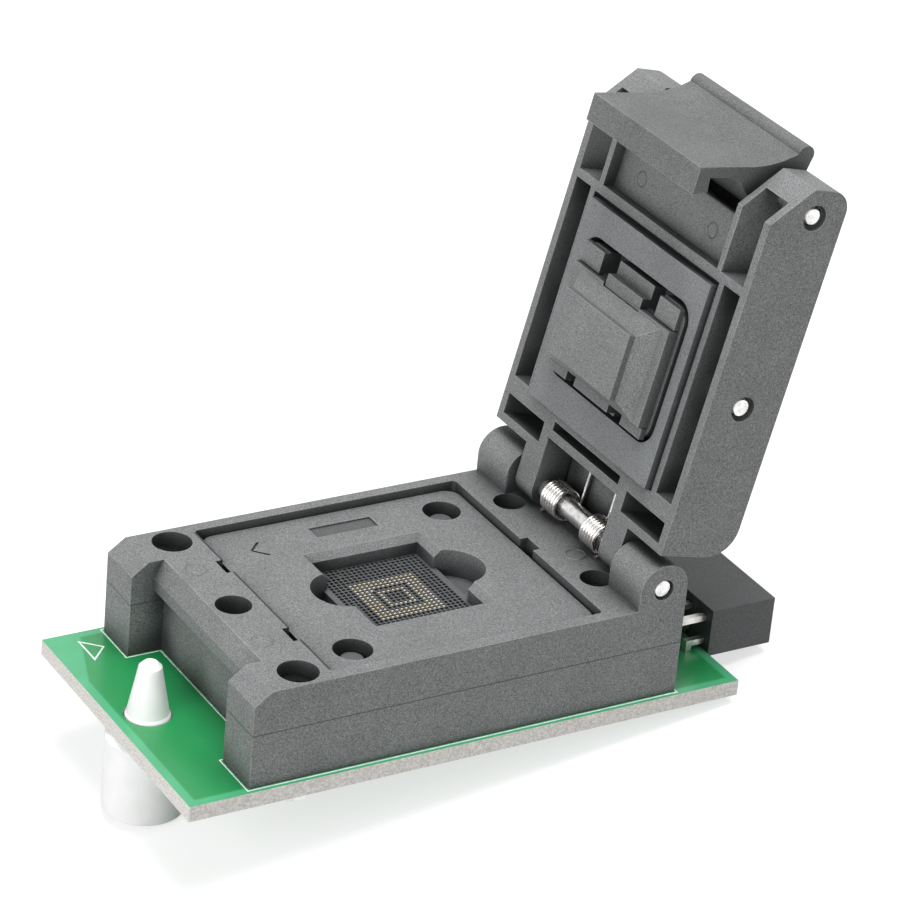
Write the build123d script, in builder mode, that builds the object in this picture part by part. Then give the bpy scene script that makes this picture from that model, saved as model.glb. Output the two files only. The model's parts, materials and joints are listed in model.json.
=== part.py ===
# Clamshell test socket for a ball grid memory chip, on its small adapter board.
# Millimetres, +Z up, +X along the board towards the lid hinge and the header, +Y away from the
# front. The origin is the centre of the chip seat, on the top face of the perforated contact plate.
import os
from math import cos, radians, sin

from build123d import *

# Board and support post
board_length = 58.6
board_width = 31.4
board_thickness = 1.6
board_left = -29.2
seat_height = 7.1          # chip seat above the board
post_x = -25.7
post_hole_radius = 2.3
post_hole_clearance = 0.15
post_foot_radius = 3.9
post_foot_height = 8.2
post_tip_height = 5.5
post_tip_radius = 1.1
foot_bevel = 0.6
tip_shoulder = 0.3
tip_bevel = 0.45

# Header, two rows of sockets
pin_pitch = 2.54
pins_per_row = 8
header_height = 5.0
header_depth = 7.2
header_gap = 0.1           # board edge to header body
header_drop = 0.4          # header underside below the board's top face
pin_side = 0.62
pin_hole_radius = 0.5
pin_tail = 1.6
leg_offset = 1.6           # board edge to the nearer row of legs
socket_hole = 1.1
header_back = 1.0          # wall behind the sockets
contact_reach = 5.0
pin_gap = 0.02

# Socket body
body_length = 45.4
body_width = 30.2
body_left = -23.0
body_height = 9.8          # top of the frame above the board
housing_height = 5.5       # parting line above the board
end_chamfer_run = 1.75
end_chamfer_drop = 1.3
recess_half = 9.95         # latch recess between the two end towers
recess_depth = 3.6
nose_reach = 1.2
nose_height = 3.1
nose_slope_run = 0.9
nose_slope_drop = 1.9

# Pocket of the sprung nest
pocket_length = 28.6
pocket_width = 27.8
pocket_centre = -0.3
pocket_radius = 0.4
nest_gap = 0.3
nest_travel = 0.45
nest_floor_gap = 0.2       # left under the nest at the end of its travel
nest_corner = 1.5
key_y = 6.7
key_width = 2.4
key_depth = 0.8

# Perforated contact plate and contacts
pitch = 0.5
grid_columns = 22
grid_rows = 26
ball_columns = 14
ball_rows = 28
plate_hole = 0.34
tip_side = 0.22
tip_below_seat = 0.06
island_height = 0.9
island_margin = 0.6
flange_thickness = 1.2
block_border = 1.6
block_gap = 0.05
island_gap = 0.05

# Chip guide
chip_length = 11.5
chip_width = 13.0
chip_height = 0.8          # the chip above its seat
chip_lead_in = 0.7
guide_below_body = 0.75
guide_over_island = 0.05
notch_radius = 3.3
notch_reach = 3.3
post_pitch_x = 20.8
post_pitch_y = 20.1
guide_hole_radius = 1.9
locating_post_radius = 1.2
locating_post_height = 2.0
mark_width = 0.28
mark_depth = 0.15
mark_reach = 1.3
mark_arm = 1.8             # length of each arm of the mark
mark_x = -10.6
mark_y = 9.6
label_length = 6.7
label_width = 1.85
label_x = -0.2
label_y = 10.6

# Screws
corner_hole_x = -17.5
corner_hole_y = 12.75
corner_hole_radius = 1.95
corner_hole_depth = 2.6
middle_hole_radius = 1.75
middle_hole_depth = 2.2
hinge_hole_x = 16.85
hinge_hole_y = 8.1
hinge_hole_radius = 1.6
screw_radius = 0.8
screw_clearance = 0.12
screw_head_height = 1.2
head_clearance = 0.2
nut_height = 1.3
nut_radius = 1.85
nut_clearance = 0.02
drive_radius = 0.6
drive_depth = 0.6

# Springs under the nest
nest_spring_radius = 1.2
nest_spring_wire = 0.3
nest_spring_x = 11.6
nest_spring_y = 11.0
nest_spring_well = 2.0
spring_clearance = 0.15

# Hinge
hinge_x = 19.8
hinge_height = 11.6        # hinge axis above the board
hinge_pin_radius = 1.0
pin_clearance = 0.05
knuckle_radius = 2.6
knuckle_length = 5.5
arm_gap = 0.3
arm_width = 3.1
arm_radius = 1.75
pin_inset = 0.3
pin_mouth_radius = 1.25    # wider mouth round each pin end
pin_mouth_depth = 0.45
pin_chamfer = 0.2
open_angle = 103.0         # from closed to the rest pose
spring_radius = 1.5
spring_wire = 0.45
coil_turns = 7
coil_outer_end = 5.25      # |y| of each coil's outer end
spring_leg = 6.6
leg_inset = 0.04           # keeps the straight legs inside the coils' outline
spring_foot = 3.6
spring_bend = 0.9

# Lid, with u along the lid from the hinge axis and n outward from it
lid_start = 3.55
lid_end = 40.7
lid_outer = 6.4
lid_chamfer = 3.8
lid_rim = 0.9
rim_gap = 0.05             # left over the body when the lid is shut
lid_roof = 0.75
lid_corner = 2.0
lid_hinge_corner = 3.0
window_start = 8.1
window_end = 29.45
window_half = 10.85
window_wall = 0.75
window_ledge = 0.8         # ledge that the pressure plate rests on
channel_start = 8.4
channel_end = 29.55
plate_gap_low = 0.1        # window to pressure plate, at its lower end
plate_gap_high = 0.5
plate_gap_side = 0.35
plate_face = -2.3
plate_thickness = 1.4
bay_half = 9.9
bay_start = 30.4
bay_roof_end = 37.2        # the roof is open above the latch
cell_inner = 10.6
top_cell_start = 30.4
top_cell_end = 38.9
low_cell_start = 4.4
low_cell_end = 6.5
low_bay_half = 6.2
low_bay_end = 5.5
low_bay_roof = 1.85
slot_start = 6.4           # slot above the bar that the spring's loop passes behind
slot_end = 7.3
slot_half = 5.95
bar_back = 0.6
low_cell_inner = 7.5

# Pusher
pusher_u = 18.8
pusher_pin_radius = 1.0
pusher_pin_n = 2.1
pad_length = 6.6
pad_width = 11.2
pad_height = 2.1
pad_step = 0.7             # upright part of the pad, below its slopes
block_face = -3.5
insert_length = 9.8
insert_width = 16.6
holder_length = 13.4
holder_width = 17.4
holder_u = 18.8
holder_gap = 0.5
holder_corner = 1.6
holder_cap = 0.35
holder_lip = 0.1           # holder face beyond the pressure plate
holder_well = 3.0
well_u = 4.2
well_y = 5.6
hook_half = 3.0
hook_slot = 1.9            # gap beside each claw
slot_depth = 1.5
block_rise = 0.6           # corner blocks of the holder beyond its face
claw_length = 0.85
claw_reach = 0.5
claw_height = 0.95
claw_thickness = 0.3
claw_gap = 0.1
insert_shift = 0.5         # insert centre towards the hinge from the pin
pad_shift = 0.65           # pad centre towards the hinge from the pin
pusher_spring_radius = 1.2
pusher_spring_wire = 0.35

# Latch
latch_u = 38.0
latch_n = 3.0
latch_half = 9.15
latch_pin_radius = 0.95
latch_boss = 1.9
latch_bay_gap = 2.1        # half width of the slot round the latch spring
barb_inner = 37.0
barb_outer = 39.7
barb_bottom = -6.6
barb_top = -5.0
barb_slope = 0.4           # how far the barb's tip runs on past its catching edge
barb_relief = 0.2          # hollow behind the catching edge
arm_inner = 38.8
arm_slack = 0.15           # the arm's inner face leans out by this towards the barb
arm_widening = 0.5         # arm's outer face beyond the barb
arm_bend_n = -1.4          # outer face is straight below this height
arm_bend_u = 40.75         # hollow of the curve up to the lip
arm_bend_mid = 1.5
lip_u = 42.8
lip_n = 4.8
lip_roll = 0.9             # half thickness of the rounded thumb lip
lip_slope_u = 1.2          # where the lip's top face runs out on the boss
lip_slope_n = 0.3
latch_slot_shift = 0.2
latch_spring_radius = 1.5
latch_spring_wire = 0.35
latch_spring_length = 3.6

# Derived places
board_top = -seat_height
board_right = board_left + board_length
body_right = body_left + body_length
body_top = body_height - seat_height
parting = housing_height - seat_height
recess_x = body_left + recess_depth
guide_top = body_top - guide_below_body
plate_underside = -island_height - flange_thickness
nest_floor = plate_underside - nest_travel - nest_floor_gap
hinge_z = hinge_height - seat_height
rim_n = body_top - hinge_z + rim_gap
lean = open_angle - 90
lid_u = Vector(sin(radians(lean)), 0, cos(radians(lean)))
lid_n = Vector(cos(radians(lean)), 0, -sin(radians(lean)))
hinge_point = Vector(hinge_x, 0, hinge_z)
body_middle = (body_left + body_right) / 2
half_width = body_width / 2
roof_n = lid_outer - lid_roof
pad_face = block_face - pad_height
pusher_stroke = chip_height - hinge_z - pad_face   # seats the pad on the chip when shut


def side(y):
    """Plane of the lid's side profile, (u, n), at the given y, facing +Y."""
    return Plane(origin=hinge_point + Vector(0, y, 0), x_dir=lid_u, z_dir=(0, 1, 0))


def face(n):
    """Plane of the lid's face, (u, -y), at the given height n, facing outward."""
    return Plane(origin=hinge_point + lid_n * n, x_dir=lid_u, z_dir=lid_n)


def ball_map():
    """Places of the chip's contacts: the 153 ball field and the outer support balls."""
    places = []
    first_row = (ball_rows - ball_columns) // 2
    last = ball_columns - 1
    outer = {0: (3, 5, 8, 10), 1: (1, 12), 3: (0, 13)}
    for row in range(ball_rows):
        inner_row = row - first_row
        for column in range(ball_columns):
            edge = min(row, ball_rows - 1 - row)
            if 0 <= inner_row <= last:
                in_band = inner_row < 3 or inner_row > last - 3 or column < 3 or column > last - 3
                index_ball = inner_row == 3 and column == 3
                in_ring = inner_row in (4, 9) and 4 <= column <= 9
                ring_side = 5 <= inner_row <= 8 and column in (4, 9)
                used = in_band or index_ball or in_ring or ring_side
            else:
                used = column in outer.get(edge, ())
            if used:
                x = (column - (ball_columns - 1) / 2) * pitch
                y = ((ball_rows - 1) / 2 - row) * pitch
                places.append((x, y))
    return [(x, y) for x, y in places if abs(y) < grid_rows * pitch / 2]


def save(part, name):
    """Label a finished piece and write it to its own STEP file."""
    part.part.label = name
    export_step(part.part, f"parts/{name}.step")


os.makedirs("parts", exist_ok=True)
corner_holes = [(corner_hole_x, corner_hole_y), (corner_hole_x, -corner_hole_y)]
hinge_holes = [(hinge_hole_x, hinge_hole_y), (hinge_hole_x, -hinge_hole_y)]
header_row_x = [board_right - leg_offset, board_right - leg_offset - pin_pitch]
header_ys = [(i - (pins_per_row - 1) / 2) * pin_pitch for i in range(pins_per_row)]
header_bottom = board_top - header_drop
header_zs = [header_bottom + header_height / 2 + s * pin_pitch / 2 for s in (-1, 1)]
header_x = board_right + header_gap
header_width = pins_per_row * pin_pitch

# Adapter board
with BuildPart() as board:
    with BuildSketch(Plane.XY.offset(board_top - board_thickness)):
        with Locations((board_left + board_length / 2, 0)):
            Rectangle(board_length, board_width)
        with Locations((post_x, 0)):
            Circle(post_hole_radius, mode=Mode.SUBTRACT)
        with Locations([(x, y) for x in header_row_x for y in header_ys]):
            Circle(pin_hole_radius, mode=Mode.SUBTRACT)
        with Locations(corner_holes + hinge_holes):
            Circle(screw_radius + screw_clearance, mode=Mode.SUBTRACT)
    extrude(amount=board_thickness)
save(board, "board")

# Nylon support post, snapped into the board from below
neck_radius = post_hole_radius - post_hole_clearance
board_bottom = board_top - board_thickness
foot_bottom = board_bottom - post_foot_height
with BuildPart() as support_post:
    with BuildSketch(Plane(origin=(post_x, 0, 0), x_dir=(1, 0, 0), z_dir=(0, -1, 0))):
        with BuildLine():
            Polyline(
                (0, foot_bottom),
                (post_foot_radius, foot_bottom),
                (post_foot_radius, board_bottom - foot_bevel),
                (post_foot_radius - foot_bevel, board_bottom),
                (neck_radius, board_bottom),
                (neck_radius, board_top),
                (neck_radius - post_hole_clearance, board_top + tip_shoulder),
                (post_tip_radius, board_top + post_tip_height - tip_bevel),
                (post_tip_radius - tip_bevel, board_top + post_tip_height),
                (0, board_top + post_tip_height),
                close=True,
            )
        make_face()
    revolve(axis=Axis((post_x, 0, 0), (0, 0, 1)))
save(support_post, "support_post")

# Shell of the header, with its two rows of square sockets
with BuildPart() as header_shell:
    with BuildSketch(Plane.YZ.offset(header_x)):
        with Locations((0, header_bottom + header_height / 2)):
            Rectangle(header_width, header_height)
        with Locations([(y, z) for y in header_ys for z in header_zs]):
            Rectangle(pin_side + 2 * pin_gap, pin_side + 2 * pin_gap, mode=Mode.SUBTRACT)
    extrude(amount=header_depth)
    with BuildSketch(Plane.YZ.offset(header_x + header_back)):
        with Locations([(y, z) for y in header_ys for z in header_zs]):
            Rectangle(socket_hole, socket_hole)
    extrude(amount=header_depth, mode=Mode.SUBTRACT)
save(header_shell, "header_shell")

# Bent pins of the header, from inside the shell down through the board
with BuildPart() as header_contacts:
    for y in header_ys:
        with BuildSketch(Plane.XZ.offset(-y)):
            for row_x, row_z in zip(header_row_x, header_zs):
                with BuildLine():
                    Polyline(
                        (header_x + contact_reach, row_z - pin_side / 2),
                        (header_x + contact_reach, row_z + pin_side / 2),
                        (row_x - pin_side / 2, row_z + pin_side / 2),
                        (row_x - pin_side / 2, board_bottom - pin_tail),
                        (row_x + pin_side / 2, board_bottom - pin_tail),
                        (row_x + pin_side / 2, row_z - pin_side / 2),
                        close=True,
                    )
                make_face()
        extrude(amount=pin_side / 2, both=True)
save(header_contacts, "header_contacts")

# Lower housing of the socket: nest well, spring wells and the cavity of the contact block
block_length = (ball_columns - 1) * pitch + 2 * block_border
block_width = (grid_rows - 1) * pitch + 2 * block_border
spring_places = [(x, y) for x in (-nest_spring_x, nest_spring_x) for y in (-nest_spring_y, nest_spring_y)]
with BuildPart() as lower_housing:
    with BuildSketch(Plane.XY.offset(board_top)):
        with Locations((body_middle, 0)):
            Rectangle(body_length, body_width)
        with Locations((body_left, 0)):
            Rectangle(2 * recess_depth, 2 * recess_half, mode=Mode.SUBTRACT)
        Rectangle(block_length + 2 * block_gap, block_width + 2 * block_gap, mode=Mode.SUBTRACT)
        with Locations(corner_holes + hinge_holes):
            Circle(screw_radius + screw_clearance, mode=Mode.SUBTRACT)
    extrude(amount=housing_height)
    with BuildSketch(Plane.XY.offset(nest_floor)):
        with Locations((pocket_centre, 0)):
            RectangleRounded(pocket_length, pocket_width, pocket_radius)
    extrude(amount=parting - nest_floor, mode=Mode.SUBTRACT)
    with BuildSketch(Plane.XY.offset(nest_floor - nest_spring_well)):
        with Locations(spring_places):
            Circle(nest_spring_radius + spring_clearance)
    extrude(amount=nest_spring_well, mode=Mode.SUBTRACT)
save(lower_housing, "lower_housing")

# Upper frame: pocket of the nest, end towers, latch nose, screw holes and hinge knuckles
knuckle_inner = half_width - knuckle_length
with BuildPart() as upper_frame:
    with BuildSketch(Plane.XY.offset(parting)):
        with Locations((body_middle, 0)):
            Rectangle(body_length, body_width)
        with Locations((body_left, 0)):
            Rectangle(2 * recess_depth, 2 * recess_half, mode=Mode.SUBTRACT)
        with Locations((pocket_centre, 0)):
            RectangleRounded(pocket_length, pocket_width, pocket_radius, mode=Mode.SUBTRACT)
        with Locations([(pocket_centre - pocket_length / 2, s * key_y) for s in (-1, 1)]):
            Rectangle(2 * key_depth, key_width, mode=Mode.SUBTRACT)
        with Locations((pocket_centre + pocket_length / 2, 0)):
            Rectangle(2 * key_depth, key_width, mode=Mode.SUBTRACT)
    extrude(amount=body_top - parting)
    # sloped top of the two towers
    with BuildSketch(Plane.XZ):
        with BuildLine():
            Polyline(
                (body_left, body_top - end_chamfer_drop),
                (body_left, body_top),
                (body_left + end_chamfer_run, body_top),
                close=True,
            )
        make_face()
    extrude(amount=half_width, both=True, mode=Mode.SUBTRACT)
    # nose that the latch hooks under
    nose_x = recess_x - nose_reach
    with BuildSketch(Plane.XZ):
        with BuildLine():
            Polyline(
                (recess_x, body_top - nose_height),
                (nose_x, body_top - nose_height),
                (nose_x, body_top - nose_slope_drop),
                (nose_x + nose_slope_run, body_top),
                (recess_x, body_top),
                close=True,
            )
        make_face()
    extrude(amount=recess_half, both=True)
    # knuckles of the hinge
    for y in (-half_width, knuckle_inner):
        with BuildSketch(Plane.XZ.offset(-y)):
            with Locations((hinge_x, hinge_z)):
                Circle(knuckle_radius)
            with Locations((hinge_x, (hinge_z + parting) / 2)):
                Rectangle(2 * knuckle_radius, hinge_z - parting)
        extrude(amount=-knuckle_length)
    with BuildSketch(Plane.XZ):
        with Locations((hinge_x, hinge_z)):
            Circle(hinge_pin_radius + pin_clearance)
    extrude(amount=half_width, both=True, mode=Mode.SUBTRACT)
    with Locations(Plane.XY.offset(body_top)):
        with Locations(corner_holes):
            CounterBoreHole(screw_radius + screw_clearance, corner_hole_radius, corner_hole_depth)
        with Locations(hinge_holes):
            CounterBoreHole(screw_radius + screw_clearance, hinge_hole_radius, corner_hole_depth)
        with Locations((corner_hole_x, 0)):
            Hole(middle_hole_radius, depth=middle_hole_depth)
save(upper_frame, "upper_frame")

# Screws through the frame, housing and board, and their nuts
seat_z = body_top - corner_hole_depth
with BuildPart() as frame_screws:
    for places, radius in ((corner_holes, corner_hole_radius), (hinge_holes, hinge_hole_radius)):
        with BuildSketch(Plane.XY.offset(seat_z)):
            with Locations(places):
                Circle(radius - head_clearance)
        extrude(amount=screw_head_height)
    with BuildSketch(Plane.XY.offset(seat_z)):
        with Locations(corner_holes + hinge_holes):
            Circle(screw_radius)
    extrude(amount=board_bottom - nut_height - seat_z)
    with BuildSketch(Plane.XY.offset(seat_z + screw_head_height - drive_depth)):
        with Locations(corner_holes + hinge_holes):
            RegularPolygon(drive_radius, 6)
    extrude(amount=drive_depth, mode=Mode.SUBTRACT)
save(frame_screws, "frame_screws")

with BuildPart() as screw_nuts:
    with BuildSketch(Plane.XY.offset(board_bottom)):
        with Locations(corner_holes + hinge_holes):
            RegularPolygon(nut_radius, 6)
            Circle(screw_radius + nut_clearance, mode=Mode.SUBTRACT)
    extrude(amount=-nut_height)
save(screw_nuts, "screw_nuts")

# Contact block, standing on the board inside the housing
with BuildPart() as contact_block:
    with BuildSketch(Plane.XY.offset(board_top)):
        Rectangle(block_length, block_width)
    extrude(amount=nest_floor - board_top)
save(contact_block, "contact_block")

# Contact tips, one for each ball of the chip
balls = ball_map()
with BuildPart() as contact_tips:
    with BuildSketch(Plane.XY.offset(nest_floor)):
        with Locations(balls):
            Rectangle(tip_side, tip_side)
    extrude(amount=-tip_below_seat - nest_floor)
save(contact_tips, "contact_tips")

# Perforated contact plate, the floor of the sprung nest, with its two locating posts
nest_length = pocket_length - 2 * nest_gap
nest_width = pocket_width - 2 * nest_gap
island_length = grid_columns * pitch + 2 * island_margin
island_width = grid_rows * pitch + 2 * island_margin
post_places = [(post_pitch_x / 2, post_pitch_y / 2), (-post_pitch_x / 2, -post_pitch_y / 2)]
with BuildPart() as contact_plate:
    with BuildSketch(Plane.XY.offset(plate_underside)):
        with Locations((pocket_centre, 0)):
            RectangleRounded(nest_length, nest_width, nest_corner)
        with Locations(balls):
            Rectangle(plate_hole, plate_hole, mode=Mode.SUBTRACT)
    extrude(amount=flange_thickness)
    with BuildSketch(Plane.XY.offset(-island_height)):
        Rectangle(island_length, island_width)
        with Locations(balls):
            Rectangle(plate_hole, plate_hole, mode=Mode.SUBTRACT)
    extrude(amount=island_height)
    with BuildSketch(Plane.XY.offset(-island_height)):
        with Locations(post_places):
            Circle(locating_post_radius)
    extrude(amount=locating_post_height)
save(contact_plate, "contact_plate")

# Chip guide of the nest: chip pocket with a lead-in, finger notches and engraved marks
notch_x = chip_length / 2 + notch_reach - notch_radius
with BuildPart() as chip_guide:
    with BuildSketch(Plane.XY.offset(-island_height)):
        with Locations((pocket_centre, 0)):
            RectangleRounded(nest_length, nest_width, nest_corner)
        Rectangle(chip_length, chip_width, mode=Mode.SUBTRACT)
        with Locations((notch_x, 0), (-notch_x, 0)):
            Circle(notch_radius, mode=Mode.SUBTRACT)
        with Locations(post_places):
            Circle(guide_hole_radius, mode=Mode.SUBTRACT)
    extrude(amount=guide_top + island_height)
    with BuildSketch(Plane.XY.offset(-island_height)):
        Rectangle(island_length + 2 * island_gap, island_width + 2 * island_gap)
    extrude(amount=island_height + guide_over_island, mode=Mode.SUBTRACT)
    with BuildSketch(Plane.XY.offset(guide_top)):
        Rectangle(chip_length + 2 * chip_lead_in, chip_width + 2 * chip_lead_in)
    extrude(amount=-chip_lead_in, taper=45, mode=Mode.SUBTRACT)
    with BuildSketch(Plane.XY.offset(guide_top - mark_depth)):
        with Locations((label_x, label_y)):
            Rectangle(label_length, label_width)
        for s in (-1, 1):
            with Locations(Location((mark_x + mark_reach / 2, mark_y + s * mark_reach / 2, 0), (0, 0, s * -45))):
                Rectangle(mark_width, mark_arm)
    extrude(amount=mark_depth, mode=Mode.SUBTRACT)
save(chip_guide, "chip_guide")

# Four springs that hold the nest up
with BuildPart() as nest_springs:
    with BuildSketch(Plane.XY.offset(nest_floor - nest_spring_well)):
        with Locations(spring_places):
            Circle(nest_spring_radius)
            Circle(nest_spring_radius - 2 * nest_spring_wire, mode=Mode.SUBTRACT)
    extrude(amount=plate_underside - nest_floor + nest_spring_well)
save(nest_springs, "nest_springs")

# Hinge pin
with BuildPart() as hinge_pin:
    with BuildSketch(Plane.XZ):
        with Locations((hinge_x, hinge_z)):
            Circle(hinge_pin_radius)
    extrude(amount=half_width - pin_inset, both=True)
    chamfer(hinge_pin.edges().filter_by(GeomType.CIRCLE), pin_chamfer)
save(hinge_pin, "hinge_pin")

# Double torsion spring on the hinge pin, its loop pressing the lid open
coil_inner_end = coil_outer_end - coil_turns * spring_wire
loop_y = coil_inner_end + spring_wire / 2 + leg_inset
foot_y = coil_outer_end - spring_wire / 2 - leg_inset
leg_radius = spring_radius - leg_inset
loop_foot = hinge_point + lid_n * leg_radius
loop_rise = lid_u * spring_leg
with BuildPart() as hinge_spring:
    with BuildSketch(Plane(origin=hinge_point, x_dir=(0, 1, 0), z_dir=(1, 0, 0))):
        with BuildLine():
            for i in range(coil_turns):
                ring_y = coil_inner_end + i * spring_wire
                Polyline(
                    (ring_y, spring_radius),
                    (ring_y + spring_wire / 4, spring_radius + spring_wire / 2),
                    (ring_y + spring_wire * 3 / 4, spring_radius + spring_wire / 2),
                    (ring_y + spring_wire, spring_radius),
                )
            Polyline(
                (coil_outer_end, spring_radius),
                (coil_outer_end, spring_radius - spring_wire / 2),
                (coil_inner_end, spring_radius - spring_wire / 2),
                (coil_inner_end, spring_radius),
            )
        make_face()
    revolve(axis=Axis(hinge_point, (0, 1, 0)))
    with BuildSketch(Plane(origin=(hinge_x, foot_y, hinge_z - leg_radius), z_dir=(-1, 0, 0))):
        Circle(spring_wire / 2)
    extrude(amount=spring_foot)
    mirror(about=Plane.XZ)
    with BuildLine() as loop:
        FilletPolyline(
            loop_foot + Vector(0, -loop_y, 0),
            loop_foot + loop_rise + Vector(0, -loop_y, 0),
            loop_foot + loop_rise + Vector(0, loop_y, 0),
            loop_foot + Vector(0, loop_y, 0),
            radius=spring_bend,
        )
    with BuildSketch(Plane(origin=loop.line @ 0, z_dir=loop.line % 0)):
        Circle(spring_wire / 2)
    sweep()
save(hinge_spring, "hinge_spring")

# Lid: a shell with a window for the pressure plate, side channels, ribs and cells
with BuildPart() as lid_frame:
    with BuildSketch(side(-half_width)) as lid_profile:
        with BuildLine():
            Polyline(
                (lid_start, rim_n),
                (lid_end - lid_chamfer, rim_n),
                (lid_end, rim_n + lid_chamfer),
                (lid_end, lid_outer),
                (lid_start, lid_outer),
                close=True,
            )
        make_face()
        fillet(lid_profile.vertices().group_by(Axis.Y)[-1].sort_by(Axis.X)[-1], lid_corner)
        fillet(lid_profile.vertices().group_by(Axis.Y)[-1].sort_by(Axis.X)[0], lid_hinge_corner)
    extrude(amount=body_width)
    # seat of the pressure plate, and the space for the pusher behind it
    plate_back = plate_face + plate_thickness
    window_length = window_end - window_start
    window_u = (window_start + window_end) / 2
    with BuildSketch(face(rim_n)):
        with Locations((window_u, 0)):
            Rectangle(window_length, 2 * window_half)
    extrude(amount=plate_back - rim_n, mode=Mode.SUBTRACT)
    with BuildSketch(face(plate_back)):
        with Locations((window_u, 0)):
            Rectangle(window_length - 2 * window_ledge, 2 * (window_half - window_ledge))
    extrude(amount=roof_n - plate_back, mode=Mode.SUBTRACT)
    # side channels, corner cells and the latch bay
    channel_inner = window_half + window_wall
    channel_outer = half_width - lid_rim
    with BuildSketch(face(rim_n)):
        for s in (-1, 1):
            with Locations(((channel_start + channel_end) / 2, s * (channel_inner + channel_outer) / 2)):
                Rectangle(channel_end - channel_start, channel_outer - channel_inner)
            with Locations(((top_cell_start + top_cell_end) / 2, s * (cell_inner + channel_outer) / 2)):
                Rectangle(top_cell_end - top_cell_start, channel_outer - cell_inner)
            with Locations(((low_cell_start + low_cell_end) / 2, s * (low_cell_inner + channel_outer) / 2)):
                Rectangle(low_cell_end - low_cell_start, channel_outer - low_cell_inner)
        with Locations(((bay_start + lid_end) / 2, 0)):
            Rectangle(lid_end - bay_start, 2 * bay_half)
    extrude(amount=roof_n - rim_n, mode=Mode.SUBTRACT)
    with BuildSketch(face(roof_n)):
        with Locations(((bay_roof_end + lid_end) / 2, 0)):
            Rectangle(lid_end - bay_roof_end, 2 * bay_half)
    extrude(amount=lid_roof, mode=Mode.SUBTRACT)
    # bay of the hinge spring, with a bar that its loop passes behind
    with BuildSketch(face(rim_n)):
        with Locations(((lid_start + low_bay_end) / 2, 0)):
            Rectangle(low_bay_end - lid_start, 2 * low_bay_half)
        with Locations(((slot_start + slot_end) / 2, 0)):
            Rectangle(slot_end - slot_start, 2 * slot_half)
    extrude(amount=low_bay_roof - rim_n, mode=Mode.SUBTRACT)
    with BuildSketch(face(bar_back)):
        with Locations(((low_bay_end + slot_end) / 2, 0)):
            Rectangle(slot_end - low_bay_end, 2 * slot_half)
    extrude(amount=low_bay_roof - bar_back, mode=Mode.SUBTRACT)
    # two arms that turn on the hinge pin
    arm_outer = knuckle_inner - arm_gap
    for y in (-arm_outer, arm_outer - arm_width):
        with BuildSketch(side(y)):
            Circle(arm_radius)
            with Locations((low_cell_start / 2, 0)):
                Rectangle(low_cell_start, 2 * arm_radius)
        extrude(amount=arm_width)
    with BuildSketch(side(-half_width)):
        Circle(hinge_pin_radius + pin_clearance)
        with Locations((pusher_u, pusher_pin_n)):
            Circle(pusher_pin_radius + pin_clearance)
        with Locations((latch_u, latch_n)):
            Circle(latch_pin_radius + pin_clearance)
    extrude(amount=body_width, mode=Mode.SUBTRACT)
    for y in (-half_width, half_width - pin_mouth_depth):
        with BuildSketch(side(y)):
            with Locations((pusher_u, pusher_pin_n), (latch_u, latch_n)):
                Circle(pin_mouth_radius)
        extrude(amount=pin_mouth_depth, mode=Mode.SUBTRACT)
save(lid_frame, "lid_frame")

# Pressure plate, the flat plate round the pusher
with BuildPart() as pressure_plate:
    with BuildSketch(face(plate_face)):
        with Locations((window_u + (plate_gap_low - plate_gap_high) / 2, 0)):
            Rectangle(window_length - plate_gap_low - plate_gap_high, 2 * (window_half - plate_gap_side))
        with Locations((holder_u, 0)):
            RectangleRounded(
                holder_length + 2 * holder_gap,
                holder_width + 2 * holder_gap,
                holder_corner + holder_gap,
                mode=Mode.SUBTRACT,
            )
    extrude(amount=plate_thickness)
save(pressure_plate, "pressure_plate")

# Pin that carries the pusher, and the pin of the latch
with BuildPart() as pusher_pin:
    with BuildSketch(side(-half_width + pin_inset)):
        with Locations((pusher_u, pusher_pin_n)):
            Circle(pusher_pin_radius)
    extrude(amount=body_width - 2 * pin_inset)
    chamfer(pusher_pin.edges().filter_by(GeomType.CIRCLE), pin_chamfer)
save(pusher_pin, "pusher_pin")

with BuildPart() as latch_pin:
    with BuildSketch(side(-half_width + pin_inset)):
        with Locations((latch_u, latch_n)):
            Circle(latch_pin_radius)
    extrude(amount=body_width - 2 * pin_inset)
    chamfer(latch_pin.edges().filter_by(GeomType.CIRCLE), pin_chamfer)
save(latch_pin, "latch_pin")

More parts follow.
